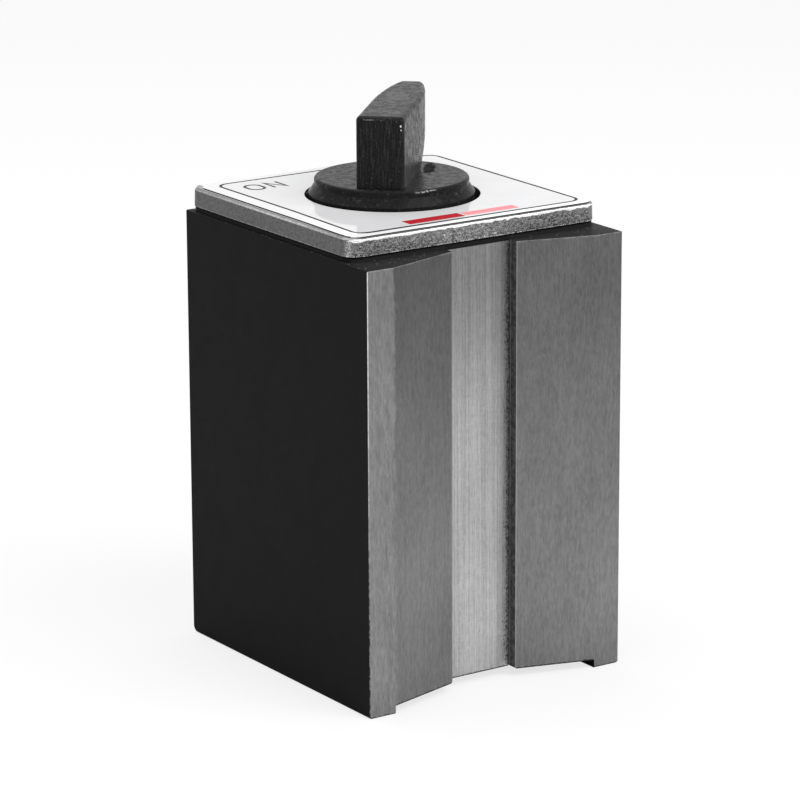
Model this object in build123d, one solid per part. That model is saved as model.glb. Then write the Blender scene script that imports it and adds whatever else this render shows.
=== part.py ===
from build123d import *
import os
from math import degrees, radians, sin, cos, asin, tan

# Switchable magnet base with a V-grooved working face and a threaded top face.
# It stands on its rear end as in the photograph: +X across the working face,
# -Y out of the working face, +Y out of the threaded face, +Z along the knob's axis.
# The origin is the middle of the base area that the rear end covers. Millimetres.

# Block
block_width = 50.0
block_depth = 55.0
block_height = 74.2
edge_round = 0.2
edge_break = 0.12
foot_round = 0.4
heel_round = 1.2

# Working face: two flat lands, the V flanks between them and a slot in the middle
land_width = 5.0
groove_fall = 3.9
slot_width = 12.66
slot_shift = 0.2
slot_step = 2.0

# Rear end: two feet beside a shallow channel
foot_width = 5.0
foot_height = 1.35

# Rotor bore
axis_from_face = 30.25
bore_radius = 16.0
slip = 0.02

# How far a cutting body runs past the piece that it cuts
overshoot = 1.0

# Threaded hole, at its core size
thread_core_radius = 3.4
thread_depth = 7.9
thread_countersink = 0.7

# Front plate, its gasket, its label and its screws
plate_size = 49.0
plate_thickness = 3.0
plate_corner = 2.7
plate_draft = 1.5
plate_bevel = 0.3
plate_hole_radius = 14.6
plate_hole_shift = 0.15
gasket_thickness = 0.9
gasket_inset = 0.15
label_thickness = 0.15
label_inset = 0.1
screw_spacing = 37.4
screw_radius = 2.0
screw_length = 12.0
screw_head_radius = 3.7
screw_head_height = 2.0
screw_socket_flats = 2.5
screw_socket_depth = 1.2
screw_hole_clearance = 0.25

# Rear plug, bush, washer and stop pin
plug_thickness = 6.0
bush_length = 4.5
bush_wall = 1.9
washer_thickness = 1.0
washer_width = 3.5
stop_pin_radius = 1.5
stop_pin_offset = 11.5
stop_pin_length = 7.9
stop_pin_angle = 200.0

# Rotor
rotor_clearance = 0.3
axial_clearance = 0.2
journal_radius = 4.0
journal_length = 5.1
journal_clearance = 0.05
collar_radius = 8.0
collar_thickness = 1.5
shaft_square = 10.0
socket_clearance = 0.05
end_disc_thickness = 3.0
groove_depth = 1.6
groove_clearance = 0.3
magnet_count = 3
drive_disc_thickness = 4.0
circlip_thickness = 1.2
circlip_width = 2.6
circlip_seat_radius = 6.2
circlip_gap = 6.0

# Knob
off_angle = 46.5
travel = 90.0
hub_radius = 9.0
hub_length = 4.35
hub_gap = 0.3
flange_clearance = 0.1
flange_thickness = 2.5
neck_radius = 12.5
lip_radius = 13.8
lip_thickness = 0.9
lip_rise = 0.45
disc_radius = 12.85
disc_rise = 3.05
disc_rim = 1.15
disc_edge_round = 0.5
flare_sag = 0.06
socket_depth = 9.0
grip_height = 12.0
grip_width = 8.0
grip_tail = 11.4
nose_start = 3.05
nose_curve = 20.2
nose_length = 17.8
nose_tip_round = 0.7
undercut_start = 5.2
undercut_slope = 26.0
grip_edge_round = 0.8
knob_pin_radius = 1.25
knob_pin_wall = 0.4
knob_pin_slit = 0.5

# Places worked out from the sizes
half_width = block_width / 2
half_slot = slot_width / 2
slot_left = slot_shift - half_slot
slot_right = slot_shift + half_slot
face_y = -block_depth / 2
back_y = block_depth / 2
flank_y = face_y + groove_fall
slot_y = flank_y + slot_step
axis_y = face_y + axis_from_face
plug_top = foot_height + plug_thickness
washer_top = plug_top + washer_thickness
collar_bottom = washer_top + axial_clearance
end_disc_bottom = collar_bottom + collar_thickness
magnet_bottom = end_disc_bottom + end_disc_thickness
gasket_top = block_height + gasket_thickness
plate_top = gasket_top + plate_thickness
label_top = plate_top + label_thickness
flange_top = gasket_top - axial_clearance
flange_bottom = flange_top - flange_thickness
hub_bottom = flange_bottom - hub_length
circlip_bottom = hub_bottom - hub_gap - circlip_thickness
drive_disc_bottom = circlip_bottom - drive_disc_thickness
magnet_length = (drive_disc_bottom - magnet_bottom) / magnet_count
disc_top = label_top + disc_rise
grip_top = disc_top + grip_height
rotor_radius = bore_radius - rotor_clearance
knob_pin_z = (hub_bottom + flange_bottom) / 2


def block_between(x_range, y_range, z_range):
    """a box between the given limits"""
    size = [high - low for low, high in (x_range, y_range, z_range)]
    centre = [(low + high) / 2 for low, high in (x_range, y_range, z_range)]
    return Pos(*centre) * Box(*size)


def rod(radius, bottom, top, x=0.0, y=axis_y):
    """an upright cylinder, on the rotor's axis unless placed elsewhere"""
    return Pos(x, y, (bottom + top) / 2) * Cylinder(radius, top - bottom)


def ring(outer, inner, bottom, top):
    """an upright ring on the rotor's axis"""
    return rod(outer, bottom, top) - rod(inner, bottom, top)


def square_bar(side, bottom, top):
    """an upright square bar on the rotor's axis, turned with the knob"""
    bar = Box(side, side, top - bottom)
    return Pos(0, axis_y, (bottom + top) / 2) * Rot(0, 0, off_angle) * bar


def bore():
    """the rotor's bore, longer than the block"""
    return rod(bore_radius, -overshoot, block_height + overshoot)


def screw_places():
    """the plate screws' places in X and Y"""
    reach = screw_spacing / 2
    return [(x, axis_y + y) for x in (-reach, reach) for y in (-reach, reach)]


def screw_shanks(radius, bottom, top):
    """one upright cylinder at each plate screw"""
    return [rod(radius, bottom, top, x, y) for x, y in screw_places()]


def pole_at(slot_side):
    """steel pole of the +X half: outer wall, land and V flank, its slot wall at the given X"""
    outline = Polyline(
        (slot_side, flank_y),
        (half_width - land_width, face_y),
        (half_width, face_y),
        (half_width, back_y),
        (slot_side, back_y),
        close=True,
    )
    pole = extrude(make_face(outline), block_height)
    back = pole.faces().sort_by(Axis.Y)[-1]
    heel = back.edges().filter_by(Axis.X).sort_by(Axis.Z)[0]
    pole = fillet(heel, heel_round)
    channel = block_between(
        (slot_side - overshoot, half_width - foot_width),
        (face_y - overshoot, back_y + overshoot),
        (-overshoot, foot_height),
    )
    pole -= channel
    inner = pole.faces().sort_by(Axis.X)[0]
    outer = pole.faces().sort_by(Axis.X)[-1]
    feet = [face.edges().filter_by(Axis.Y).sort_by(Axis.Z)[0] for face in (inner, outer)]
    pole = fillet(feet, foot_round)
    outer = pole.faces().sort_by(Axis.X)[-1]
    worn = outer.edges().filter_by(Axis.Z).sort_by(Axis.Y)[0]
    pole = chamfer(worn, edge_break)
    back = pole.faces().sort_by(Axis.Y)[-1]
    outer = pole.faces().sort_by(Axis.X)[-1]
    outer_back = back.edges().filter_by(Axis.Z).sort_by(Axis.X)[-1]
    rims = [
        outer.edges().filter_by(Axis.Y).sort_by(Axis.Z)[-1],
        back.edges().filter_by(Axis.X).sort_by(Axis.Z)[-1],
    ]
    pole = fillet([outer_back] + rims, edge_round)
    shank_bottom = plate_top - screw_length
    holes = screw_shanks(screw_radius + slip, shank_bottom, block_height + overshoot)
    return pole - bore() - holes


def pole_right():
    """steel pole of the +X half"""
    return pole_at(slot_right)


def pole_left():
    """steel pole of the -X half"""
    return mirror(pole_at(-slot_left), about=Plane.YZ)


def separator(y_range):
    """non-magnetic strip between the poles, on one side of the bore"""
    strip = block_between((slot_left, slot_right), y_range, (foot_height, block_height))
    return strip - bore()


def base_separator():
    """strip whose face is the floor of the slot"""
    return separator((slot_y, axis_y))


def thread_separator():
    """strip of the threaded face, with the blind threaded hole"""
    strip = separator((axis_y, back_y))
    middle = block_height / 2
    core = Cylinder(thread_core_radius, thread_depth)
    core = Pos(0, back_y - thread_depth / 2, middle) * Rot(90, 0, 0) * core
    mouth = Cone(
        thread_core_radius + thread_countersink,
        thread_core_radius,
        thread_countersink,
    )
    mouth = Pos(0, back_y - thread_countersink / 2, middle) * Rot(90, 0, 0) * mouth
    return strip - core - mouth


def rear_plug():
    """disc pressed into the rear end of the bore"""
    plug = rod(bore_radius - slip, foot_height, plug_top)
    seat = rod(bush_radius() + slip, plug_top - bush_length, plug_top)
    return plug - seat - stop_pin_rod(stop_pin_radius + slip)


def bush_radius():
    """outer radius of the bush round the rotor's journal"""
    return journal_radius + journal_clearance + bush_wall


def rear_bush():
    """bronze bush for the rotor's journal"""
    bottom = plug_top - bush_length
    return ring(bush_radius(), journal_radius + journal_clearance, bottom, plug_top)


def thrust_washer():
    """washer between the plug and the rotor's collar"""
    inner = journal_radius + rotor_clearance
    return ring(inner + washer_width, inner, plug_top, washer_top)


def stop_pin_rod(radius):
    """an upright cylinder at the stop pin's place"""
    x = stop_pin_offset * cos(radians(stop_pin_angle))
    y = stop_pin_offset * sin(radians(stop_pin_angle))
    top = end_disc_bottom + groove_depth - groove_clearance
    return rod(radius, top - stop_pin_length, top, x, axis_y + y)


def stop_pin():
    """pin in the plug that ends the knob's travel"""
    pin = stop_pin_rod(stop_pin_radius)
    return chamfer(pin.edges().group_by(Axis.Z)[-1], edge_break)


def stop_groove():
    """arc in the end disc that the stop pin runs in"""
    reach = stop_pin_radius + groove_clearance
    half_pin = degrees(asin(reach / stop_pin_offset))
    swept = travel + 2 * half_pin
    top = end_disc_bottom + groove_depth
    bottom = end_disc_bottom - overshoot
    track = ring(stop_pin_offset + reach, stop_pin_offset - reach, bottom, top)
    sector = Pos(0, axis_y, 0) * Rot(0, 0, stop_pin_angle + half_pin - swept)
    sector = sector * Cylinder(
        bore_radius,
        block_height,
        arc_size=swept,
        align=(Align.NONE, Align.NONE, Align.MIN),
    )
    return track & sector


def end_disc():
    """disc under the magnets, with the stop groove in its underside"""
    disc = rod(rotor_radius, end_disc_bottom, magnet_bottom)
    socket = square_bar(shaft_square + 2 * socket_clearance, end_disc_bottom, magnet_bottom)
    return disc - socket - stop_groove()


def magnet(place):
    """one ferrite cylinder of the stack on the shaft, counted from the rear"""
    bottom = magnet_bottom + place * magnet_length
    top = bottom + magnet_length
    body = rod(rotor_radius, bottom, top)
    return body - square_bar(shaft_square + 2 * socket_clearance, bottom, top)


def drive_disc():
    """disc above the magnets"""
    disc = rod(rotor_radius, drive_disc_bottom, circlip_bottom)
    socket = square_bar(shaft_square + 2 * socket_clearance, drive_disc_bottom, circlip_bottom)
    return disc - socket


def circlip_space(outer):
    """the circlip's ring on the shaft"""
    top = circlip_bottom + circlip_thickness
    return ring(outer, circlip_seat_radius, circlip_bottom, top)


def shaft_circlip():
    """open ring that holds the stack on the shaft"""
    body = circlip_space(circlip_seat_radius + circlip_width)
    opening = Box(2 * bore_radius, circlip_gap, 2 * block_height)
    opening = Pos(0, axis_y, 0) * Rot(0, 0, off_angle) * Pos(bore_radius, 0, 0) * opening
    return body - opening


def rotor_shaft():
    """square shaft with a round journal and a collar at its rear end"""
    journal = rod(journal_radius, collar_bottom - journal_length, collar_bottom)
    collar = rod(collar_radius, collar_bottom, end_disc_bottom)
    socket_end = hub_bottom + socket_depth - socket_clearance
    bar = square_bar(shaft_square, end_disc_bottom, socket_end)
    shaft = journal + collar + bar
    return shaft - circlip_space(collar_radius) - knob_pin_rod(knob_pin_radius + slip)


def knob_pin_rod(radius):
    """a cylinder across the hub, at the knob pin's place"""
    across = Cylinder(radius, 2 * hub_radius)
    return Pos(0, axis_y, knob_pin_z) * Rot(0, 0, off_angle) * Rot(90, 0, 0) * across


def knob_pin():
    """slit spring pin through the knob's hub and the shaft"""
    pin = knob_pin_rod(knob_pin_radius) - knob_pin_rod(knob_pin_radius - knob_pin_wall)
    slit = Box(knob_pin_slit, 2 * hub_radius, 2 * knob_pin_radius)
    slit = Pos(0, 0, knob_pin_radius) * slit
    return pin - Pos(0, axis_y, knob_pin_z) * Rot(0, 0, off_angle) * slit


def knob_turned_form():
    """the round body of the knob: hub, flange, neck, flared skirt and disc"""
    lip_top = label_top + lip_rise
    lip_bottom = lip_top - lip_thickness
    rim_bottom = disc_top - disc_rim
    flange_radius = bore_radius - flange_clearance
    edge = disc_edge_round
    flare_middle = (
        (disc_radius + lip_radius) / 2 - flare_sag,
        (rim_bottom + lip_top) / 2,
    )
    outline = [
        Polyline(
            (0, hub_bottom),
            (hub_radius, hub_bottom),
            (hub_radius, flange_bottom),
            (flange_radius, flange_bottom),
            (flange_radius, flange_top),
            (neck_radius, flange_top),
            (neck_radius, lip_bottom),
            (lip_radius, lip_bottom),
            (lip_radius, lip_top),
        ),
        ThreePointArc((lip_radius, lip_top), flare_middle, (disc_radius, rim_bottom)),
        Line((disc_radius, rim_bottom), (disc_radius, disc_top - edge)),
        RadiusArc((disc_radius, disc_top - edge), (disc_radius - edge, disc_top), -edge),
        Polyline((disc_radius - edge, disc_top), (0, disc_top), (0, hub_bottom)),
    ]
    profile = Plane.XZ * make_face(outline)
    return Pos(0, axis_y, 0) * revolve(profile, Axis.Z)


def knob_grip():
    """the upright bar on the knob, with an undercut pointer nose"""
    half = grip_width / 2
    tip = nose_start + nose_length
    outline = [
        Line((-grip_tail, -half), (nose_start, -half)),
        EllipticalCenterArc((nose_start, 0), nose_curve, half, -90, arc_size=180),
        Polyline((nose_start, half), (-grip_tail, half), (-grip_tail, -half)),
    ]
    bar = extrude(make_face(outline), grip_height)
    beyond_tip = (tip, tip + nose_curve)
    bar = bar - block_between(beyond_tip, (-half, half), (0, grip_height))
    tip_edges = bar.faces().sort_by(Axis.X)[-1].edges().sort_by(Axis.Z)
    bar = fillet(tip_edges[1:-1], nose_tip_round)
    wedge_end = tip + overshoot
    rise = (wedge_end - undercut_start) * tan(radians(undercut_slope))
    wedge = Polyline(
        (undercut_start, 0),
        (wedge_end, 0),
        (wedge_end, rise),
        close=True,
    )
    wedge = Plane.XZ * make_face(wedge)
    bar = bar - extrude(wedge, grip_width, both=True)
    tail_edges = bar.faces().sort_by(Axis.X)[0].edges().filter_by(Axis.Z)
    bar = fillet(tail_edges, grip_edge_round)
    bar = fillet(bar.faces().sort_by(Axis.Z)[-1].edges(), grip_edge_round)
    return Pos(0, axis_y, disc_top) * Rot(0, 0, off_angle) * bar


def knob():
    """moulded knob, with the square socket for the shaft"""
    body = knob_turned_form() + knob_grip()
    socket = square_bar(
        shaft_square + 2 * socket_clearance,
        hub_bottom - overshoot,
        hub_bottom + socket_depth,
    )
    return body - socket - knob_pin_rod(knob_pin_radius + slip)


def sheet(size, corner, bottom, top):
    """a flat square with round corners, centred on the rotor's axis"""
    outline = RectangleRounded(size, size, corner)
    return Pos(0, axis_y, bottom) * extrude(outline, top - bottom)


def plate_hole(bottom, top):
    """the round hole in the plate and its label"""
    return rod(plate_hole_radius, bottom, top, plate_hole_shift)


def plate_gasket():
    """black sheet between the block and the plate"""
    inset = gasket_inset
    body = sheet(plate_size - 2 * inset, plate_corner - inset, block_height, gasket_top)
    radius = screw_radius + screw_hole_clearance
    holes = screw_shanks(radius, block_height, gasket_top)
    return body - rod(bore_radius, block_height, gasket_top) - holes


def screw_head_cone(x, y, growth=0.0):
    """the countersunk head of a plate screw, or its seat"""
    cone = Cone(screw_radius + growth, screw_head_radius + growth, screw_head_height)
    return Pos(x, y, plate_top - screw_head_height / 2) * cone


def front_plate():
    """die-cast plate, drafted, with a bevelled top edge"""
    outline = RectangleRounded(plate_size, plate_size, plate_corner)
    plate = extrude(outline, plate_thickness, taper=plate_draft)
    plate = chamfer(plate.edges().group_by(Axis.Z)[-1], plate_bevel)
    plate = Pos(0, axis_y, gasket_top) * plate
    radius = screw_radius + screw_hole_clearance
    holes = screw_shanks(radius, gasket_top, plate_top)
    seats = [screw_head_cone(x, y, slip) for x, y in screw_places()]
    return plate - plate_hole(gasket_top, plate_top) - holes - seats


def label_sheet():
    """printed sheet that covers the plate's top and its screws"""
    inset = label_inset + plate_bevel
    body = sheet(plate_size - 2 * inset, plate_corner - inset, plate_top, label_top)
    return body - plate_hole(plate_top, label_top)


def plate_screw(x, y):
    """countersunk socket screw"""
    shank_top = plate_top - screw_head_height
    shank = rod(screw_radius, plate_top - screw_length + slip, shank_top, x, y)
    socket = RegularPolygon(screw_socket_flats / 2, 6, major_radius=False)
    socket = Pos(x, y, plate_top - screw_socket_depth) * extrude(socket, screw_socket_depth)
    return shank + screw_head_cone(x, y) - socket


def plate_screws():
    """the four plate screws"""
    return Compound(children=[plate_screw(x, y) for x, y in screw_places()])


nodes = {
    "pole_left": pole_left,
    "pole_right": pole_right,
    "base_separator": base_separator,
    "thread_separator": thread_separator,
    "rear_plug": rear_plug,
    "rear_bush": rear_bush,
    "thrust_washer": thrust_washer,
    "stop_pin": stop_pin,
    "rotor_shaft": rotor_shaft,
    "end_disc": end_disc,
    "magnet_rear": lambda: magnet(0),
    "magnet_middle": lambda: magnet(1),
    "magnet_front": lambda: magnet(2),
    "drive_disc": drive_disc,
    "shaft_circlip": shaft_circlip,
    "knob": knob,
    "knob_pin": knob_pin,
    "plate_gasket": plate_gasket,
    "front_plate": front_plate,
    "label_sheet": label_sheet,
    "plate_screws": plate_screws,
}

os.makedirs("parts", exist_ok=True)
for name, make in nodes.items():
    export_step(make(), f"parts/{name}.step")
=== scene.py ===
from math import cos, radians, sin, tau

import bmesh
import bpy
from mathutils import Matrix, Vector


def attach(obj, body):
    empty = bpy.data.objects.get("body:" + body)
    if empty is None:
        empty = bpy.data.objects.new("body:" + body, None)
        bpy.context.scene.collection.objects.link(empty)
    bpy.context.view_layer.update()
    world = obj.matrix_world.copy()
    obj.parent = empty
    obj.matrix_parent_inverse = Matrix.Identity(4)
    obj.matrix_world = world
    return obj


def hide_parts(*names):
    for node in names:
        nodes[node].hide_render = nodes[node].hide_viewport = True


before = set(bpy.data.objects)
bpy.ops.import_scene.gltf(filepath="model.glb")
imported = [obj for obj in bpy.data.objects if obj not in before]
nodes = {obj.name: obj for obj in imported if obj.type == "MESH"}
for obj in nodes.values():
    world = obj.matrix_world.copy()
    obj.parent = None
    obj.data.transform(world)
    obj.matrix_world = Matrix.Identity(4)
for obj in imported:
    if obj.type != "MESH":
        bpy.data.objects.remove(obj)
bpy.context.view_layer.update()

# Sizes in millimetres, as the parts have them
MM = 0.001
face_y = -27.5
back_y = 27.5
block_top = 74.2
land_inside = 20.0
groove_edge_y = -23.6
strip_y = -21.6
slot_left, slot_right = -6.13, 6.53
foot_height = 1.35
foot_inside = 20.0
axis_y = 2.75
plate_bottom, plate_top = 75.1, 78.1
label_top = 78.25
label_half = 24.1
label_corner = 2.3
disc_top = 81.3
disc_front_y = -9.4
grip_angle = 46.5

# The thread, M8, in the back face: its middle, its radii and its inner end
thread_z = 37.1
thread_core, thread_root = 3.4, 3.98
thread_pitch = 1.25
thread_end = 21.2

# The printed line, from the rotor's axis. It is line_wide at the left front corner.
# Its right side leans by line_lean, a share of the length, and its left side lies
# line_shift further out, and line_bend more in front, along line_bend_run.
line_left, line_right = -20.5, 23.0
line_front, line_back = -22.15, 22.1
line_corner = 2.2
line_width, line_wide = 0.48, 0.75
line_lean = 0.0155
line_shift = 0.1
line_bend = 0.6
line_bend_start, line_bend_run = -2.0, 18.0

# The words, each letter with its left and right limit, and the rule below them
print_bottom, print_top = label_top - 0.02, label_top + 0.02
letter_low, letter_high = 14.85, 19.15
letter_width = 0.5
letters_on = (("O", -17.75, -14.45), ("N", -13.45, -10.7))
letters_off = (("O", 9.0, 12.3), ("F", 13.1, 15.2), ("F", 15.9, 18.0))
rule_y = -19.8
rule_left, rule_right, rule_width = -10.6, 0.2, 2.5
pale_left, pale_right, pale_width = 0.7, 11.0, 2.1


# Shader building

def grey(value):
    return (value, value, value, 1.0)


class Paint:
    """a material's node tree, with the surface's place on the object in millimetres"""

    def __init__(self, name, metallic=0.0, specular=0.5):
        self.material = bpy.data.materials.new(name)
        self.material.use_nodes = True
        self.tree = self.material.node_tree
        self.surface = self.tree.nodes["Principled BSDF"]
        self.surface.inputs["Metallic"].default_value = metallic
        self.surface.inputs["Specular IOR Level"].default_value = specular
        self.place = self.node("ShaderNodeTexCoord")
        scale = self.node("ShaderNodeVectorMath", operation="SCALE")
        scale.inputs["Scale"].default_value = 1 / MM
        self.link(self.place.outputs["Object"], scale.inputs[0])
        self.mm = scale.outputs[0]
        split = self.node("ShaderNodeSeparateXYZ")
        self.link(self.mm, split.inputs[0])
        self.x, self.y, self.z = split.outputs
        split = self.node("ShaderNodeSeparateXYZ")
        self.link(self.place.outputs["Normal"], split.inputs[0])
        self.nx, self.ny, self.nz = split.outputs

    def node(self, kind, **settings):
        """a new node with these settings"""
        made = self.tree.nodes.new(kind)
        for key, value in settings.items():
            setattr(made, key, value)
        return made

    def link(self, output, socket):
        self.tree.links.new(output, socket)

    def feed(self, socket, value):
        """the socket gets another node's output, or a plain value"""
        if isinstance(value, bpy.types.NodeSocket):
            self.link(value, socket)
        else:
            socket.default_value = value

    def math(self, operation, a, b=0.0):
        made = self.node("ShaderNodeMath", operation=operation)
        self.feed(made.inputs[0], a)
        self.feed(made.inputs[1], b)
        return made.outputs[0]

    def add(self, a, b):
        return self.math("ADD", a, b)

    def sub(self, a, b):
        return self.math("SUBTRACT", a, b)

    def mul(self, a, b):
        return self.math("MULTIPLY", a, b)

    def unsigned(self, value):
        return self.math("ABSOLUTE", value)

    def without(self, value, share):
        """the value, with that share of it taken away"""
        return self.mul(value, self.sub(1.0, share))

    def most(self, *values):
        """the highest of the values"""
        out = values[0]
        for value in values[1:]:
            out = self.math("MAXIMUM", out, value)
        return out

    def both(self, *values):
        """all the masks together, as their product"""
        out = values[0]
        for value in values[1:]:
            out = self.math("MULTIPLY", out, value)
        return out

    def span(self, value, low, high, out_low=0.0, out_high=1.0, smooth=True):
        """value from low to high, as out_low to out_high, and level outside"""
        made = self.node("ShaderNodeMapRange")
        made.interpolation_type = "SMOOTHSTEP" if smooth else "LINEAR"
        self.feed(made.inputs["Value"], value)
        self.feed(made.inputs["From Min"], low)
        self.feed(made.inputs["From Max"], high)
        self.feed(made.inputs["To Min"], out_low)
        self.feed(made.inputs["To Max"], out_high)
        return made.outputs["Result"]

    def fall(self, value, low, high):
        """1 below low, 0 above high"""
        return self.span(value, low, high, 1.0, 0.0)

    def sway(self, noise, reach, half=0.15):
        """noise that is within half of 0.5, as a number from -reach to reach"""
        return self.span(noise, 0.5 - half, 0.5 + half, -reach, reach)

    def band(self, value, low, high, soft):
        """1 between low and high, 0 outside"""
        rise = self.span(value, low - soft, low + soft)
        return self.both(rise, self.fall(value, high - soft, high + soft))

    def at(self, stretch, shift):
        """the place, with each axis multiplied and moved"""
        made = self.node("ShaderNodeMapping")
        made.inputs["Scale"].default_value = stretch
        made.inputs["Location"].default_value = shift
        self.link(self.mm, made.inputs["Vector"])
        return made.outputs[0]

    def noise(self, stretch, detail, roughness, shift=(0, 0, 0), distortion=0.0):
        """smooth noise, mostly 0.3 to 0.7, with its blots per millimetre along each axis"""
        made = self.node("ShaderNodeTexNoise")
        self.link(self.at(stretch, shift), made.inputs["Vector"])
        made.inputs["Scale"].default_value = 1.0
        made.inputs["Detail"].default_value = detail
        made.inputs["Roughness"].default_value = roughness
        made.inputs["Distortion"].default_value = distortion
        return made.outputs["Fac"]

    def cells(self, stretch):
        """distance to the nearest of many scattered points"""
        made = self.node("ShaderNodeTexVoronoi")
        self.link(self.at(stretch, (0, 0, 0)), made.inputs["Vector"])
        made.inputs["Scale"].default_value = 1.0
        made.inputs["Randomness"].default_value = 1.0
        return made.outputs["Distance"]

    def mix(self, factor, a, b):
        """a colour between a and b"""
        made = self.node("ShaderNodeMix", data_type="RGBA")
        first, second = [socket for socket in made.inputs if socket.type == "RGBA"]
        self.feed(made.inputs["Factor"], factor)
        self.feed(first, a)
        self.feed(second, b)
        return next(socket for socket in made.outputs if socket.type == "RGBA")

    def blend(self, factor, a, b):
        """a number between a and b"""
        made = self.node("ShaderNodeMix", data_type="FLOAT")
        self.feed(made.inputs["Factor"], factor)
        self.feed(made.inputs["A"], a)
        self.feed(made.inputs["B"], b)
        return made.outputs["Result"]

    def shade(self, value, tint=(1, 1, 1)):
        """a number as a colour, grey where no tint is given"""
        made = self.node("ShaderNodeCombineColor")
        for socket, share in zip(made.inputs[:3], tint):
            self.feed(socket, value if share == 1 else self.mul(value, share))
        return made.outputs[0]

    def bump(self, height, depth=1.0):
        """a bump of the height times depth, in millimetres"""
        made = self.node("ShaderNodeBump")
        made.inputs["Strength"].default_value = 1.0
        made.inputs["Distance"].default_value = depth * MM
        self.link(height, made.inputs["Height"])
        return made.outputs[0]

    def finish(self, color, roughness, normal=None, metallic=None):
        """the material, with its shader fed"""
        self.feed(self.surface.inputs["Base Color"], color)
        self.feed(self.surface.inputs["Roughness"], roughness)
        if metallic is not None:
            self.feed(self.surface.inputs["Metallic"], metallic)
        if normal is not None:
            self.link(normal, self.surface.inputs["Normal"])
        return self.material


def dress(material, *names):
    """the material on CAD nodes"""
    for name in names:
        data = nodes[name].data
        data.materials.clear()
        data.materials.append(material)


# Materials of the block

def slot_lines(p, outward, inward, soft):
    """1 in an upright line at each edge of the slot, 0 elsewhere"""
    return p.most(p.band(p.x, slot_left - outward, slot_left + inward, soft),
                  p.band(p.x, slot_right - inward, slot_right + outward, soft))


def low_edge(p):
    """1 in the shadow line along the bottom of the working face"""
    foot = p.span(p.unsigned(p.x), foot_inside - 0.05, foot_inside + 0.05)
    height = p.sub(p.z, p.blend(foot, foot_height, 0.0))
    rough = p.noise((1.5, 1.5, 1.5), detail=4, roughness=0.7, shift=(4, 4, 7))
    full = p.span(rough, 0.35, 0.65, 0.05, 0.15)
    none = p.span(rough, 0.35, 0.65, 0.2, 0.4)
    return p.fall(height, full, none)


def specks(p, stretch, size, share):
    """small scattered spots: 1 inside a spot"""
    near = p.fall(p.cells(stretch), size * 0.5, size)
    wide = tuple(0.35 * value for value in stretch)
    chosen = p.noise(wide, detail=2, roughness=0.5, shift=(9, 4, 6))
    return p.both(near, p.span(chosen, share, share + 0.04))


def black_paint(p):
    """tone, roughness and height of the sprayed black paint"""
    cloud = p.noise((0.3, 0.3, 0.3), detail=4, roughness=0.6)
    grain = p.noise((3.5, 3.5, 3.5), detail=3, roughness=0.6, shift=(2, 2, 2))
    peel = p.noise((2.5, 2.5, 2.5), detail=3, roughness=0.6)
    tone = p.add(p.span(cloud, 0.3, 0.7, 0.005, 0.007), p.sway(grain, 0.001))
    # The top is painted paler, as light falls on it from above, less so near the working face and
    # the left side, and dusty
    top = p.span(p.nz, 0.6, 0.9)
    painted_top_light = p.span(p.y, face_y, face_y + 5.5, 0.004, 0.014)
    from_left = p.span(p.x, -24.5, -22.0, 0.5, 1.0)
    dust = specks(p, (1.3, 1.3, 1.3), size=0.15, share=0.44)
    tone = p.add(tone, p.both(top, painted_top_light, from_left))
    tone = p.add(tone, p.both(top, dust, 0.35))
    # The seams beside the strip of the threaded face
    seam = p.both(slot_lines(p, 0.1, 0.1, 0.06), p.span(p.ny, 0.8, 0.9))
    tone = p.without(tone, p.mul(seam, 0.6))
    rough = p.span(cloud, 0.3, 0.7, 0.46, 0.56)
    return tone, rough, p.sub(p.mul(peel, 0.012), p.mul(seam, 0.05))


def ground_grain(p):
    """short upright grinding marks, from 0 to 1"""
    hair = p.noise((5.0, 5.0, 0.8), detail=3, roughness=0.65, distortion=0.3)
    streak = p.noise((2.0, 2.0, 0.12), detail=3, roughness=0.6, shift=(3, 7, 1))
    blotch = p.noise((1.5, 1.5, 0.6), detail=4, roughness=0.7, shift=(2, 9, 4))
    return p.add(p.add(p.mul(hair, 0.45), p.mul(streak, 0.2)), p.mul(blotch, 0.35))


def ground_steel(p):
    """tone, roughness and height of the ground working face"""
    grain = ground_grain(p)
    cloud = p.noise((0.1, 0.1, 0.05), detail=4, roughness=0.55, shift=(5, 0, 2))
    smear = p.noise((0.9, 0.9, 0.25), detail=4, roughness=0.7, shift=(8, 2, 2))
    smudge = p.noise((0.5, 0.5, 0.09), detail=4, roughness=0.6, shift=(1, 8, 3))
    scuff = p.noise((1.2, 1.2, 0.5), detail=5, roughness=0.7, shift=(7, 3, 5))
    # How pale the steel is at each height, on the right, the left flank and the left land: painted
    # reflection, darker towards the top
    right = p.span(p.z, 12.0, 64.0, 0.2, 0.12, smooth=False)
    flank = p.span(p.z, 25.0, 74.0, 0.19, 0.088, smooth=False)
    land = p.add(p.span(p.z, 8.0, 50.0, 0.235, 0.2), p.span(p.z, 50.0, 72.0, 0.0, -0.02))
    land = p.sub(land, p.span(smudge, 0.5, 0.75, 0.0, 0.05))
    on_flank = p.span(p.nx, 0.1, 0.25)
    on_land = p.span(p.add(p.x, p.sway(smear, 0.5)), 0.5 - land_inside, -0.3 - land_inside)
    level = p.blend(on_land, p.blend(on_flank, right, flank), land)
    tone = p.add(p.sway(grain, 0.2, half=0.14), p.sway(cloud, 0.06, half=0.2))
    tone = p.mul(p.add(tone, 1.0), level)
    # Scuffs on the left land, a painted highlight along the slot's edges and the painted shadow
    # line at the bottom
    tone = p.add(tone, p.both(on_land, p.span(scuff, 0.55, 0.7), 0.04))
    tone = p.add(tone, p.mul(slot_lines(p, 0.18, 0.0, 0.03), 0.08))
    tone = p.without(tone, p.mul(low_edge(p), 0.85))
    rough = p.span(grain, 0.3, 0.7, 0.32, 0.42)
    return tone, rough, p.mul(grain, 0.012)


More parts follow.
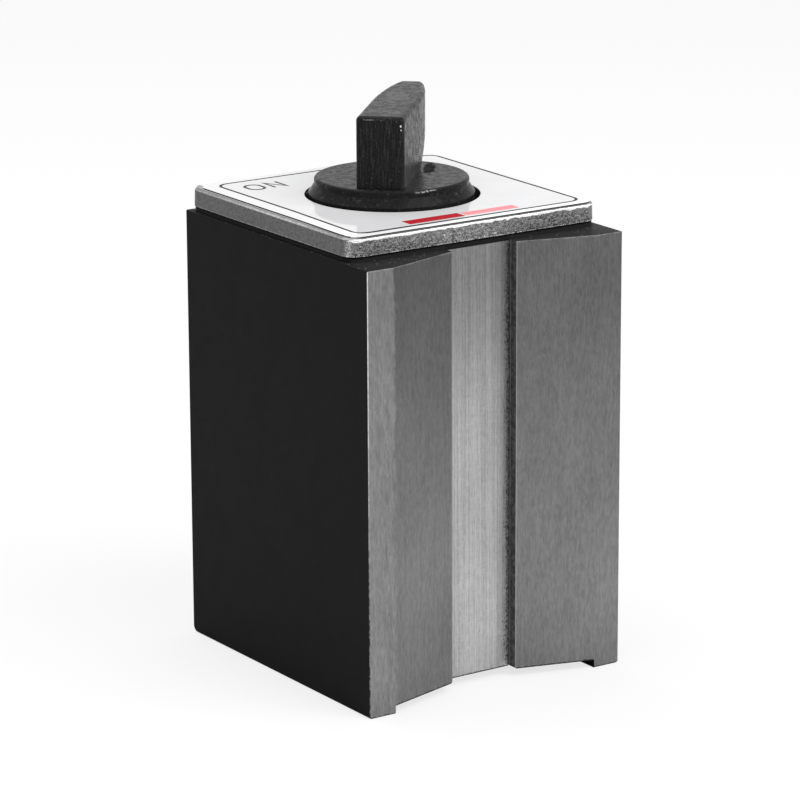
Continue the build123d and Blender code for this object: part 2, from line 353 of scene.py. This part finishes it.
def pole_material():
    """ground steel on the working face, black paint elsewhere"""
    p = Paint("pole_steel", specular=0.04)
    paint_tone, paint_rough, paint_height = black_paint(p)
    steel_tone, steel_rough, steel_height = ground_steel(p)
    nick = p.noise((1.1, 1.1, 1.1), detail=3, roughness=0.6, shift=(4, 1, 6))
    steep = p.unsigned(p.nx)
    # A painted highlight on the worn top edge, and upright corners that are worn and painted paler
    # towards the top
    ragged = p.span(nick, 0.3, 0.7, 0.05, 0.35)
    top_edge = p.span(p.sub(block_top, p.z), ragged, 0.0, smooth=False)
    steel_tone = p.add(steel_tone, p.mul(top_edge, 0.14))
    corner = p.both(p.band(steep, 0.55, 0.85, 0.05), p.fall(p.ny, -0.6, -0.5))
    wear_and_highlight = p.add(p.span(p.z, 8.0, 72.0, 0.03, 0.6), p.span(nick, 0.4, 0.6, 0.0, 0.15))
    steel_tone = p.blend(corner, steel_tone, wear_and_highlight)
    # The slot's walls: dull, with painted shade that deepens inward from the face, and a faint
    # line above the strip
    beside_slot = p.span(p.unsigned(p.x), slot_right + 0.5, slot_right + 0.2)
    slot_wall = p.both(p.span(steep, 0.9, 0.95), beside_slot)
    wall_tone = p.span(nick, 0.35, 0.65, 0.04, 0.09)
    wall_tone = p.mul(wall_tone, p.span(p.y, groove_edge_y, strip_y - 0.6, 1.35, 0.9))
    wall_line = p.band(p.y, strip_y - 0.52, strip_y - 0.32, 0.08)
    wall_tone = p.add(wall_tone, p.mul(wall_line, 0.1))
    ground = p.fall(p.ny, -0.5, -0.4)
    color = p.mix(ground, p.shade(paint_tone), p.shade(steel_tone))
    color = p.mix(slot_wall, color, p.shade(wall_tone))
    rough = p.blend(ground, paint_rough, steel_rough)
    height = p.blend(ground, paint_height, steel_height)
    return p.finish(color, rough, p.bump(height), metallic=ground)


def separator_material():
    """milled strip, black paint on the outside faces"""
    p = Paint("separator_metal", specular=0.04)
    paint_tone, paint_rough, paint_height = black_paint(p)
    line = p.noise((4.0, 4.0, 0.02), detail=4, roughness=0.65)
    fine = p.noise((9.0, 9.0, 0.9), detail=3, roughness=0.6, shift=(1, 2, 3))
    cloud = p.noise((0.15, 0.15, 0.1), detail=4, roughness=0.55)
    ripple = p.noise((0.5, 0.5, 5.0), detail=3, roughness=0.6, shift=(7, 2, 3))
    tone = p.add(p.sway(line, 0.14), p.sway(fine, 0.14))
    tone = p.add(tone, p.add(p.sway(ripple, 0.04), p.sway(cloud, 0.06, half=0.2)))
    # Painted reflection: darker towards the top, paler near the bottom
    level = p.add(p.span(p.z, 38.0, 74.0, 0.36, 0.2), p.span(p.z, 6.0, 30.0, 0.09, 0.0))
    tone = p.mul(p.add(tone, 1.0), level)
    # Dots of grime and painted shade in the corner at the slot's right wall, the metal painted
    # paler beside it against the wall's shadow, and the painted shadow line at the foot
    from_wall = p.sub(slot_right, p.x)
    blot = p.noise((3.2, 3.2, 2.0), detail=4, roughness=0.75, shift=(6, 6, 1), distortion=0.4)
    drift = p.noise((0.2, 0.2, 0.15), detail=3, roughness=0.5, shift=(2, 6, 4))
    reach = p.span(drift, 0.35, 0.65, 1.0, 1.7)
    limit = p.span(from_wall, 0.3, reach, 0.5, 0.62, smooth=False)
    dots = p.span(p.sub(blot, limit), 0.0, 0.05)
    dots = p.both(dots, p.fall(from_wall, reach, p.add(reach, 0.3)))
    grime_and_shade = p.most(dots, p.span(from_wall, 0.05, 0.3, 0.3, 0.0))
    tone = p.without(tone, p.mul(grime_and_shade, 0.8))
    tone = p.mul(tone, p.span(from_wall, 0.1, 1.9, 1.75, 1.0))
    tone = p.without(tone, p.mul(low_edge(p), 0.6))
    # Paint covers the threaded face, the top and the bottom
    inside = p.fall(p.y, back_y - 0.3, back_y - 0.1)
    bare = p.both(inside, p.band(p.z, 1.5, block_top - 0.2, 0.05))
    color = p.mix(bare, p.shade(paint_tone), p.shade(tone))
    rough = p.blend(bare, paint_rough, p.span(fine, 0.3, 0.7, 0.35, 0.5))
    height = p.add(p.mul(line, 0.02), p.mul(fine, 0.008))
    height = p.blend(bare, paint_height, height)
    return p.finish(color, rough, p.bump(height), metallic=bare)


# Materials of the inner parts

def plain_metal(name, tone, spread, roughness, stretch, tint=(1, 1, 1)):
    """a machined or drawn metal, with marks along the axis of the least stretch"""
    p = Paint(name, metallic=1.0)
    mark = p.noise(stretch, detail=4, roughness=0.6)
    cloud = p.noise((0.2, 0.2, 0.2), detail=4, roughness=0.55, shift=(2, 5, 8))
    level = p.add(p.sway(mark, spread, half=0.2), p.sway(cloud, spread, half=0.2))
    rough = p.span(mark, 0.3, 0.7, roughness - 0.07, roughness + 0.07)
    return p.finish(p.shade(p.add(level, tone), tint), rough, p.bump(mark, 0.01))


def plain_matte(name, tone, spread, roughness, stretch):
    """a dull dark solid with a fine grain"""
    p = Paint(name)
    grain = p.noise(stretch, detail=4, roughness=0.6)
    level = p.span(grain, 0.3, 0.7, tone - spread, tone + spread)
    rough = p.span(grain, 0.3, 0.7, roughness - 0.06, roughness + 0.06)
    return p.finish(p.shade(level), rough, p.bump(grain, 0.01))


# Materials of the plate, the label, the knob and the gasket

def plate_material():
    """die-cast metal: rough and sparkling at the front, smoother on the other sides"""
    p = Paint("plate_metal", metallic=1.0)
    coarse = p.noise((1.6, 1.6, 2.2), detail=4, roughness=0.7)
    fine = p.noise((4.5, 4.5, 5.5), detail=3, roughness=0.7, shift=(3, 1, 4), distortion=0.5)
    streak = p.noise((1.4, 1.4, 4.0), detail=4, roughness=0.75, shift=(5, 2, 8), distortion=1.0)
    pit = p.noise((3.0, 3.0, 3.6), detail=3, roughness=0.75, shift=(2, 8, 3), distortion=0.6)
    slow = p.noise((0.6, 0.6, 0.9), detail=4, roughness=0.65, shift=(7, 7, 3))
    front = p.fall(p.ny, -0.75, -0.45)
    above = p.sub(p.z, plate_bottom)
    below = p.sub(plate_top, p.z)
    # The grain, with bright flecks and dark pits at the front, and the front painted paler than
    # the other sides, as it is lit
    tone = p.add(1.0, p.mul(p.sway(coarse, 1.0), p.blend(front, 0.2, 0.3)))
    tone = p.add(tone, p.mul(p.sway(fine, 1.0, half=0.12), p.blend(front, 0.18, 0.55)))
    tone = p.mul(tone, p.blend(front, 0.115, 0.195))
    tone = p.add(tone, p.both(front, p.span(streak, 0.56, 0.68), 0.5))
    pits = p.span(p.sub(pit, p.span(above, 0.2, 1.0, 0.5, 0.56)), 0.0, 0.07)
    tone = p.without(tone, p.both(front, pits, 0.8))
    # Painted highlight: flecks on the round corner between the left side and the front
    corner = p.both(p.band(p.nx, -0.92, -0.72, 0.06), p.span(p.y, 0.0, -10.0))
    tone = p.add(tone, p.both(corner, p.span(fine, 0.42, 0.6), 0.35))
    # The bevel as a painted highlight, palest at the middle of the left side
    bevel = p.both(p.span(p.nz, 0.2, 0.5), p.fall(p.nz, 0.9, 0.97), p.sub(1.0, front))
    bevel_highlight = p.mul(p.span(p.y, -20.0, -4.0, 0.22, 0.34), p.span(p.y, 4.0, 22.0, 1.0, 0.72))
    bevel_highlight = p.mul(bevel_highlight, p.span(coarse, 0.4, 0.6, 0.85, 1.2))
    tone = p.blend(bevel, tone, bevel_highlight)
    # A ragged painted highlight on the front's rim, a line of painted shade above it and a painted
    # highlight at the foot of every side
    ragged = p.span(slow, 0.35, 0.65, 0.5, 0.72)
    rim = p.both(front, p.fall(below, p.sub(ragged, 0.12), ragged))
    tone = p.add(tone, p.mul(rim, 0.75))
    upper = p.add(p.sway(fine, 0.03), 0.21)
    top_shade = p.both(front, p.fall(below, p.sub(upper, 0.03), upper))
    tone = p.without(tone, p.mul(top_shade, 0.97))
    foot = p.both(p.fall(above, 0.08, 0.22), p.span(fine, 0.42, 0.6))
    tone = p.add(tone, p.mul(foot, p.blend(front, 0.14, 0.4)))
    height = p.add(p.mul(coarse, 0.6), p.mul(fine, 0.4))
    height = p.mul(height, p.blend(front, 0.05, 0.3))
    return p.finish(p.shade(tone), 0.45, p.bump(height))


def past_corner(p, corner):
    """how far outside the label's outline, were its corners this round"""
    flat = label_half - corner
    over_x = p.most(p.sub(p.unsigned(p.x), flat), 0.0)
    over_y = p.most(p.sub(p.unsigned(p.sub(p.y, axis_y)), flat), 0.0)
    reach = p.add(p.mul(over_x, over_x), p.mul(over_y, over_y))
    return p.sub(p.math("SQRT", reach), corner)


def label_material():
    """glossy white film with a very pale grey panel inside the printed line"""
    p = Paint("label_film", specular=0.12)
    cloud = p.noise((0.2, 0.2, 0.2), detail=3, roughness=0.5)
    up = p.sub(p.y, axis_y)
    # The panel has the printed line's own outline
    bend = p.span(up, line_bend_start - line_bend_run, line_bend_start,
                  line_shift + line_bend, line_shift, smooth=False)
    out_of_square = p.blend(p.span(p.x, -0.5, 0.5), bend, p.mul(up, -line_lean))
    panel = p.both(p.band(p.add(p.x, out_of_square), line_left, line_right, 0.05),
                   p.band(up, line_front, line_back, 0.05))
    border = p.span(up, -20.0, -5.0, 0.76, 0.64)
    tone = p.add(p.sway(cloud, 0.01, half=0.2), p.blend(panel, border, 0.6))
    # The dark rim of painted shade along the film's left side, from 0.43 to 0.98, and the grey
    # outside it
    side = p.fall(p.nz, 0.3, 0.6)
    left = p.fall(p.x, -22.9, -22.3)
    past = p.add(past_corner(p, label_corner), p.span(up, -20.0, -8.0, 0.0, 0.2))
    past = p.both(left, p.sub(1.0, side), p.band(up, -23.2, 21.9, 0.3), p.add(past, 1.0))
    outer = p.span(past, 0.98, 1.04)
    rim = p.both(p.span(past, 0.43, 0.5), p.fall(past, 0.98, 1.04))
    tone = p.blend(rim, p.blend(outer, tone, 0.35), 0.004)
    # The worn left back corner, then the film's cut sides, painted in shade: grey on the left and
    # nearly black at the front
    lost = p.both(left, p.span(up, 19.5, 20.5), p.span(past_corner(p, 5.0), -0.1, 0.1))
    tone = p.blend(lost, tone, 0.3)
    tone = p.blend(p.both(side, left), tone, 0.33)
    tone = p.blend(p.both(side, p.fall(p.ny, -0.6, -0.4)), tone, 0.03)
    ripple = p.noise((0.12, 0.12, 0.12), detail=2, roughness=0.5, shift=(4, 4, 4))
    dull = p.most(rim, outer, side, lost)
    rough = p.blend(dull, p.span(cloud, 0.3, 0.7, 0.05, 0.08), 0.9)
    return p.finish(p.shade(tone, (0.985, 0.985, 1)), rough, p.bump(ripple, 0.01))


def grip_place(p):
    """how far along the pointer, and how far to its right"""
    turn_cos, turn_sin = cos(radians(grip_angle)), sin(radians(grip_angle))
    up = p.sub(p.y, axis_y)
    along = p.add(p.mul(p.x, turn_cos), p.mul(up, turn_sin))
    aside = p.sub(p.mul(p.x, turn_sin), p.mul(up, turn_cos))
    return along, aside


def disc_mark(p):
    """the dark ragged mark on the disc beside the nose"""
    along, aside = grip_place(p)
    past = p.mul(p.sub(along, 6.4), 0.22)
    out = p.mul(p.sub(p.add(aside, p.mul(past, 0.5)), 5.3), 0.9)
    grain = p.noise((1.2, 1.2, 1.2), detail=4, roughness=0.7, shift=(1, 1, 5))
    reach = p.add(p.add(p.mul(past, past), p.mul(out, out)), p.sway(grain, 0.35))
    flat = p.band(p.z, disc_top - 0.05, disc_top + 0.05, 0.03)
    return p.both(flat, p.fall(reach, 0.6, 1.0))


def edge_chip(p, across, z, radius):
    """a small pale chip on the grip's tail, beside its upright edge"""
    past = p.sub(grip_place(p)[1], across)
    rise = p.sub(p.z, z)
    reach = p.add(p.mul(past, past), p.mul(p.mul(rise, rise), 0.4))
    tail = p.fall(p.nx, 0.0, 0.1)
    return p.both(tail, p.fall(reach, radius * radius * 0.4, radius * radius))


def top_glint(p):
    """thin bright dashes under the tail's top edge"""
    dash = p.noise((1.6, 1.6, 1.6), detail=3, roughness=0.7, shift=(2, 2, 7))
    along, aside = grip_place(p)
    height = p.band(p.z, disc_top + 11.4, disc_top + 11.55, 0.04)
    width = p.band(aside, -2.6, 0.6, 0.3)
    return p.both(height, width, p.fall(along, -11.1, -11.0), p.span(dash, 0.5, 0.56))


def rim_glint(p):
    """painted highlight: broken bright dashes on the disc's front rim"""
    dash = p.noise((2.0, 2.0, 3.0), detail=3, roughness=0.7, shift=(3, 5, 1))
    height = p.band(p.z, disc_top - 0.45, disc_top - 0.15, 0.05)
    front = p.span(p.y, disc_front_y, disc_front_y - 0.4)
    width = p.band(p.x, -6.0, 0.0, 0.5)
    return p.both(height, front, width, p.span(dash, 0.48, 0.56))


def knob_material():
    """black moulded plastic with a gloss, a little worn"""
    p = Paint("knob_plastic", specular=0.035)
    grain = p.noise((3.0, 3.0, 3.0), detail=4, roughness=0.6)
    drag = p.noise((4.0, 4.0, 0.3), detail=3, roughness=0.6, shift=(8, 1, 2))
    wear = p.noise((0.8, 0.8, 0.8), detail=5, roughness=0.7, shift=(3, 3, 9))
    scuff = p.noise((0.9, 0.9, 1.4), detail=5, roughness=0.75, shift=(6, 2, 3))
    # The flat tops, the pointer's upright sides, and the right one of them
    flat = p.span(p.nz, 0.7, 0.95)
    upright = p.fall(p.unsigned(p.nz), 0.3, 0.6)
    grip = p.both(upright, p.span(p.z, disc_top, disc_top + 0.3))
    side = p.both(grip, p.span(p.nx, 0.3, 0.6))
    # Drag marks on the pointer, paler on its right side as painted light, wear on the tops, scuffs
    # on the rest
    tone = p.span(grain, 0.3, 0.7, 0.009, 0.019)
    tone = p.add(tone, p.both(grip, p.span(drag, 0.48, 0.7), p.blend(side, 0.02, 0.06)))
    tone = p.add(tone, p.both(flat, p.span(wear, 0.5, 0.7), 0.018))
    elsewhere = p.sub(1.0, p.most(flat, grip))
    tone = p.add(tone, p.both(elsewhere, p.span(scuff, 0.57, 0.68), 0.05))
    # Painted light: the pointer's right side is paler, as it is lit
    tone = p.add(tone, p.mul(side, 0.02))
    # Specks, the mark on the disc, two chips and the bright dashes of painted highlight
    speck = specks(p, (2.2, 2.2, 1.4), size=0.16, share=0.5)
    tone = p.add(tone, p.both(grip, speck, 0.08))
    mark = disc_mark(p)
    tone = p.blend(mark, tone, 0.004)
    chips = p.most(edge_chip(p, across=3.45, z=91.85, radius=0.15),
                   edge_chip(p, across=3.5, z=91.2, radius=0.1))
    tone = p.add(tone, p.mul(chips, 0.7))
    tone = p.blend(rim_glint(p), tone, 0.4)
    tone = p.blend(top_glint(p), tone, 0.15)
    rough = p.add(p.span(grain, 0.3, 0.7, 0.1, 0.22), p.span(wear, 0.38, 0.62, -0.04, 0.22))
    rough = p.add(rough, p.both(side, p.span(drag, 0.35, 0.65), 0.1))
    rough = p.add(rough, p.mul(mark, 0.4))
    height = p.add(p.mul(grain, 0.4), p.both(drag, grip, 0.6))
    height = p.add(height, p.mul(wear, 1.2))
    return p.finish(p.shade(tone), rough, p.bump(height, 0.035))


def seal_material():
    """black sheet, with painted shade darkest where it meets the plate"""
    p = Paint("seal_rubber", specular=0.03)
    grain = p.noise((2.5, 2.5, 2.5), detail=4, roughness=0.65)
    below = p.sub(plate_bottom, p.z)
    dark = p.fall(below, p.span(grain, 0.3, 0.7, 0.05, 0.2), 0.3)
    front = p.fall(p.ny, -0.8, -0.5)
    slot = p.band(p.x, slot_left, slot_right, 0.3)
    level = p.blend(front, 0.014, p.blend(slot, 0.024, 0.012))
    level = p.mul(level, p.span(below, 0.2, 0.55, 0.4, 1.0))
    tone = p.mul(level, p.span(grain, 0.3, 0.7, 0.85, 1.15))
    tone = p.blend(dark, tone, 0.002)
    return p.finish(p.shade(tone), p.span(grain, 0.3, 0.7, 0.5, 0.65), p.bump(grain, 0.02))


def ink(name, color):
    """a printed ink, slightly uneven"""
    p = Paint(name, specular=0.04)
    mottle = p.noise((5.0, 5.0, 5.0), detail=3, roughness=0.6)
    pale = tuple(min(1.0, c * 1.25 + 0.01) for c in color[:3]) + (1.0,)
    rough = p.span(mottle, 0.3, 0.7, 0.4, 0.5)
    return p.finish(p.mix(p.span(mottle, 0.3, 0.7), color, pale), rough)


dress(pole_material(), "pole_left", "pole_right")
dress(separator_material(), "base_separator", "thread_separator")
dress(plate_material(), "front_plate")
dress(label_material(), "label_sheet")
dress(knob_material(), "knob")
dress(seal_material(), "plate_gasket")
dress(plain_matte("ferrite", tone=0.05, spread=0.015, roughness=0.55, stretch=(3.0, 3.0, 3.0)),
      "magnet_rear", "magnet_middle", "magnet_front")
dress(plain_metal("plug_metal", tone=0.3, spread=0.04, roughness=0.4, stretch=(0.4, 0.4, 6.0)),
      "rear_plug", "end_disc", "drive_disc")
dress(plain_metal("bronze", tone=0.6, spread=0.05, roughness=0.35, stretch=(0.4, 0.4, 8.0),
                  tint=(1, 0.74, 0.42)),
      "rear_bush", "thrust_washer")
dress(plain_metal("shaft_steel", tone=0.5, spread=0.05, roughness=0.3, stretch=(6.0, 6.0, 0.3)),
      "stop_pin", "rotor_shaft", "shaft_circlip", "knob_pin")
dress(plain_metal("screw_steel", tone=0.12, spread=0.03, roughness=0.45, stretch=(3.0, 3.0, 3.0)),
      "plate_screws")


# Shapes that the scene adds

def add_object(name, work, scale=MM):
    """an object from the bmesh, which is in millimetres unless scale says otherwise"""
    mesh = bpy.data.meshes.new(name)
    work.to_mesh(mesh)
    work.free()
    mesh.transform(Matrix.Scale(scale, 4))
    made = bpy.data.objects.new(name, mesh)
    bpy.context.scene.collection.objects.link(made)
    return made


def join_rows(work, pairs):
    """side faces between the two rows of four points in each pair"""
    for low, high in pairs:
        for side in range(4):
            turn = (side + 1) % 4
            work.faces.new((low[side], low[turn], high[turn], high[side]))


# Print on the label

def side_points(points, closed, widths):
    """the two edges of a line through the points, with its width at each"""
    bluntest = 0.4
    left, right = [], []
    count = len(points)
    for index in range(count):
        here = Vector(points[index])
        before = Vector(points[index - 1]) if closed or index else None
        after = Vector(points[(index + 1) % count]) if closed or index < count - 1 else None
        into = ((after - here) if before is None else (here - before)).normalized()
        out = into if after is None else (after - here).normalized()
        normal_in = Vector((-into.y, into.x))
        normal_out = Vector((-out.y, out.x))
        mitre = (normal_in + normal_out).normalized()
        reach = widths[index] / 2 / max(bluntest, mitre.dot(normal_in))
        left.append(here + mitre * reach)
        right.append(here - mitre * reach)
    return left, right


def add_line(work, points, closed, width):
    """a thin raised line in the label's plane, with one width or a list, one for each point"""
    widths = width if isinstance(width, list) else [width] * len(points)
    left, right = side_points(points, closed, widths)
    rows = []
    for a, b in zip(left, right):
        places = [(a, print_bottom), (b, print_bottom), (b, print_top), (a, print_top)]
        rows.append([work.verts.new((at.x, at.y + axis_y, z)) for at, z in places])
    pairs = list(zip(rows, rows[1:]))
    if closed:
        pairs.append((rows[-1], rows[0]))
    else:
        work.faces.new(rows[0])
        work.faces.new(rows[-1])
    join_rows(work, pairs)


def print_piece(name, material, lines):
    """a printed piece, riding on the base: each line has its points, if it is closed, its width"""
    work = bmesh.new()
    for points, closed, width in lines:
        add_line(work, points, closed, width)
    bmesh.ops.recalc_face_normals(work, faces=work.faces)
    piece = add_object(name, work)
    piece.data.materials.append(material)
    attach(piece, "base")


def round_box(left, right, low, high, corner, steps=8):
    """points of a rectangle with round corners"""
    points = []
    half_x, half_y = (right - left) / 2, (high - low) / 2
    for sign_x, sign_y, start in ((1, 1, 0), (-1, 1, 90), (-1, -1, 180), (1, -1, 270)):
        for step in range(steps + 1):
            angle = radians(start + 90 * step / steps)
            x = (left + right) / 2 + sign_x * (half_x - corner) + corner * cos(angle)
            y = (low + high) / 2 + sign_y * (half_y - corner) + corner * sin(angle)
            points.append((x, y))
    return points


def askew(x, y):
    """the printed line's point, moved as the real line is out of square"""
    if x > 0:
        return x + line_lean * y, y
    bent = min(1.0, max(0.0, (line_bend_start - y) / line_bend_run))
    return x - line_shift - line_bend * bent, y


def letter_lines(kind, left, right):
    """the lines of a capital O, N or F between its left and right limit"""
    inset = letter_width / 2
    left, right = left + inset, right - inset
    low, high = letter_low + inset, letter_high - inset
    middle = (low + high) / 2 + inset
    if kind == "O":
        oval = round_box(left, right, low, high, corner=(right - left) * 0.49, steps=10)
        return [(oval, True, letter_width)]
    if kind == "N":
        return [([(left, low), (left, high), (right, low), (right, high)], False, letter_width)]
    return [([(left, low), (left, high), (right, high)], False, letter_width),
            ([(left, middle), (right - 0.5, middle)], False, letter_width)]


def print_label():
    """the printed line, the two words and a plain rule, half red and half pale red"""
    black = ink("print_black", grey(0.01))
    soft_black = ink("print_grey", grey(0.03))
    red = ink("print_red", (0.3, 0.002, 0.008, 1.0))
    pale_red = ink("print_pale_red", (0.62, 0.2, 0.22, 1.0))
    line = round_box(line_left, line_right, line_front, line_back, line_corner)
    line.insert(len(line) // 2, (line_left, line_bend_start))
    widths = [line_wide if x < 0 and y < line_front + 0.4 else line_width for x, y in line]
    print_piece("label_line", black, [([askew(x, y) for x, y in line], True, widths)])
    for name, letters in (("word_on", letters_on), ("word_off", letters_off)):
        lines = [stroke for letter in letters for stroke in letter_lines(*letter)]
        print_piece(name, soft_black, lines)
    print_piece("label_rule", red,
                [([(rule_left, rule_y), (rule_right, rule_y)], False, rule_width)])
    print_piece("label_rule_pale", pale_red,
                [([(pale_left, rule_y), (pale_right, rule_y)], False, pale_width)])


# Thread in the strip of the threaded face

def thread_cutter():
    """a coil of the thread's groove, from the hole's inner end to outside the face"""
    steps = 36
    inner, half_open, half_root = thread_core - 0.12, 0.53, 0.08
    start = thread_core - 0.1
    work = bmesh.new()
    rows = []
    for index in range(int((back_y + 1.0 - thread_end) / thread_pitch * steps) + 1):
        angle = tau * index / steps
        depth = thread_end + thread_pitch * index / steps
        root = start + (thread_root - start) * min(1.0, index / steps)
        section = [(inner, half_open), (root, half_root), (root, -half_root), (inner, -half_open)]
        rows.append([work.verts.new((radius * cos(angle), depth + along,
                                     thread_z + radius * sin(angle)))
                     for radius, along in section])
    join_rows(work, zip(rows, rows[1:]))
    work.faces.new(rows[0])
    work.faces.new(rows[-1])
    bmesh.ops.recalc_face_normals(work, faces=work.faces)
    return add_object("thread_cutter", work)


def cut_thread():
    """the strip with its thread cut, in the place of the plain one"""
    plain = nodes["thread_separator"]
    piece = bpy.data.objects.new("thread_strip", plain.data.copy())
    bpy.context.scene.collection.objects.link(piece)
    piece.matrix_world = plain.matrix_world
    cutter = thread_cutter()
    carve = piece.modifiers.new("carve", "BOOLEAN")
    carve.operation = "DIFFERENCE"
    carve.solver = "EXACT"
    carve.object = cutter
    depsgraph = bpy.context.evaluated_depsgraph_get()
    carved = bpy.data.meshes.new_from_object(piece.evaluated_get(depsgraph))
    piece.modifiers.clear()
    piece.data = carved
    bpy.data.objects.remove(cutter)
    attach(piece, "base")
    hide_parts("thread_separator")


print_label()
cut_thread()


# Stage, light and camera, in metres and watts

floor_radius = 3.0
floor_white = 0.75
sky_level = 0.55
lamps = (
    ("key", (0.25, -0.55, 0.75), 0.6, 6.0),
    ("top", (-0.1, 0.25, 0.8), 0.7, 4.0),
)
lamp_aim = (0.0, 0.0, 0.04)

# The camera, fitted to the block's corners in the photograph: angles in degrees,
# lengths in millimetres, and the focal length in pixels of the 800 pixel picture
camera_azimuth, camera_elevation, camera_roll = -33.996, 15.241, -0.248
camera_target = (-18.927, -27.5, 52.489)
camera_distance = 639.13
focal_pixels, picture_pixels = 4028.12, 800
sensor = 36.0


def make_floor():
    """a pale floor, partly plain white where the camera looks"""
    work = bmesh.new()
    bmesh.ops.create_circle(work, cap_ends=True, segments=96, radius=floor_radius)
    floor = add_object("floor", work, scale=1.0)
    material = bpy.data.materials.new("floor")
    material.use_nodes = True
    tree = material.node_tree
    surface = tree.nodes["Principled BSDF"]
    surface.inputs["Base Color"].default_value = grey(0.8)
    surface.inputs["Roughness"].default_value = 0.9
    surface.inputs["Specular IOR Level"].default_value = 0.1
    path = tree.nodes.new("ShaderNodeLightPath")
    share = tree.nodes.new("ShaderNodeMath")
    share.operation = "MULTIPLY"
    share.inputs[1].default_value = floor_white
    glow = tree.nodes.new("ShaderNodeEmission")
    glow.inputs["Strength"].default_value = 1.0
    both = tree.nodes.new("ShaderNodeMixShader")
    tree.links.new(path.outputs["Is Camera Ray"], share.inputs[0])
    tree.links.new(share.outputs[0], both.inputs[0])
    tree.links.new(surface.outputs[0], both.inputs[1])
    tree.links.new(glow.outputs[0], both.inputs[2])
    tree.links.new(both.outputs[0], tree.nodes["Material Output"].inputs["Surface"])
    floor.data.materials.append(material)


def make_world():
    """soft light from all round, and plain white where the camera or a reflection looks"""
    world = bpy.data.worlds.new("studio")
    bpy.context.scene.world = world
    world.use_nodes = True
    tree = world.node_tree
    sky = tree.nodes["Background"]
    sky.inputs["Color"].default_value = grey(1.0)
    sky.inputs["Strength"].default_value = sky_level
    bright = tree.nodes.new("ShaderNodeBackground")
    bright.inputs["Color"].default_value = grey(1.0)
    path = tree.nodes.new("ShaderNodeLightPath")
    seen = tree.nodes.new("ShaderNodeMath")
    seen.operation = "MAXIMUM"
    both = tree.nodes.new("ShaderNodeMixShader")
    tree.links.new(path.outputs["Is Camera Ray"], seen.inputs[0])
    tree.links.new(path.outputs["Is Glossy Ray"], seen.inputs[1])
    tree.links.new(seen.outputs[0], both.inputs[0])
    tree.links.new(sky.outputs[0], both.inputs[1])
    tree.links.new(bright.outputs[0], both.inputs[2])
    tree.links.new(both.outputs[0], tree.nodes["World Output"].inputs["Surface"])


def make_lamp(name, place, size, power):
    """a square soft lamp that looks at the object"""
    data = bpy.data.lights.new(name, "AREA")
    data.shape = "RECTANGLE"
    data.size = data.size_y = size
    data.energy = power
    lamp = bpy.data.objects.new(name, data)
    bpy.context.scene.collection.objects.link(lamp)
    lamp.location = place
    lamp.rotation_euler = (Vector(lamp_aim) - Vector(place)).to_track_quat("-Z", "Y").to_euler()


def make_camera():
    """the camera at the photograph's angle"""
    azimuth, elevation = radians(camera_azimuth), radians(camera_elevation)
    roll = radians(camera_roll)
    back = Vector((sin(azimuth) * cos(elevation), -cos(azimuth) * cos(elevation), sin(elevation)))
    right = Vector((cos(azimuth), sin(azimuth), 0.0))
    up = back.cross(right)
    tipped_right = right * cos(roll) + up * sin(roll)
    tipped_up = up * cos(roll) - right * sin(roll)
    data = bpy.data.cameras.new("camera")
    data.sensor_width = sensor
    data.lens = focal_pixels / picture_pixels * sensor
    camera = bpy.data.objects.new("camera", data)
    bpy.context.scene.collection.objects.link(camera)
    turn = Matrix((tipped_right, tipped_up, back)).transposed()
    place = Vector(camera_target) * MM + back * (camera_distance * MM)
    camera.matrix_world = Matrix.Translation(place) @ turn.to_4x4()
    bpy.context.scene.camera = camera


make_floor()
make_world()
for lamp in lamps:
    make_lamp(*lamp)
make_camera()
bpy.context.scene.view_settings.view_transform = "Standard"
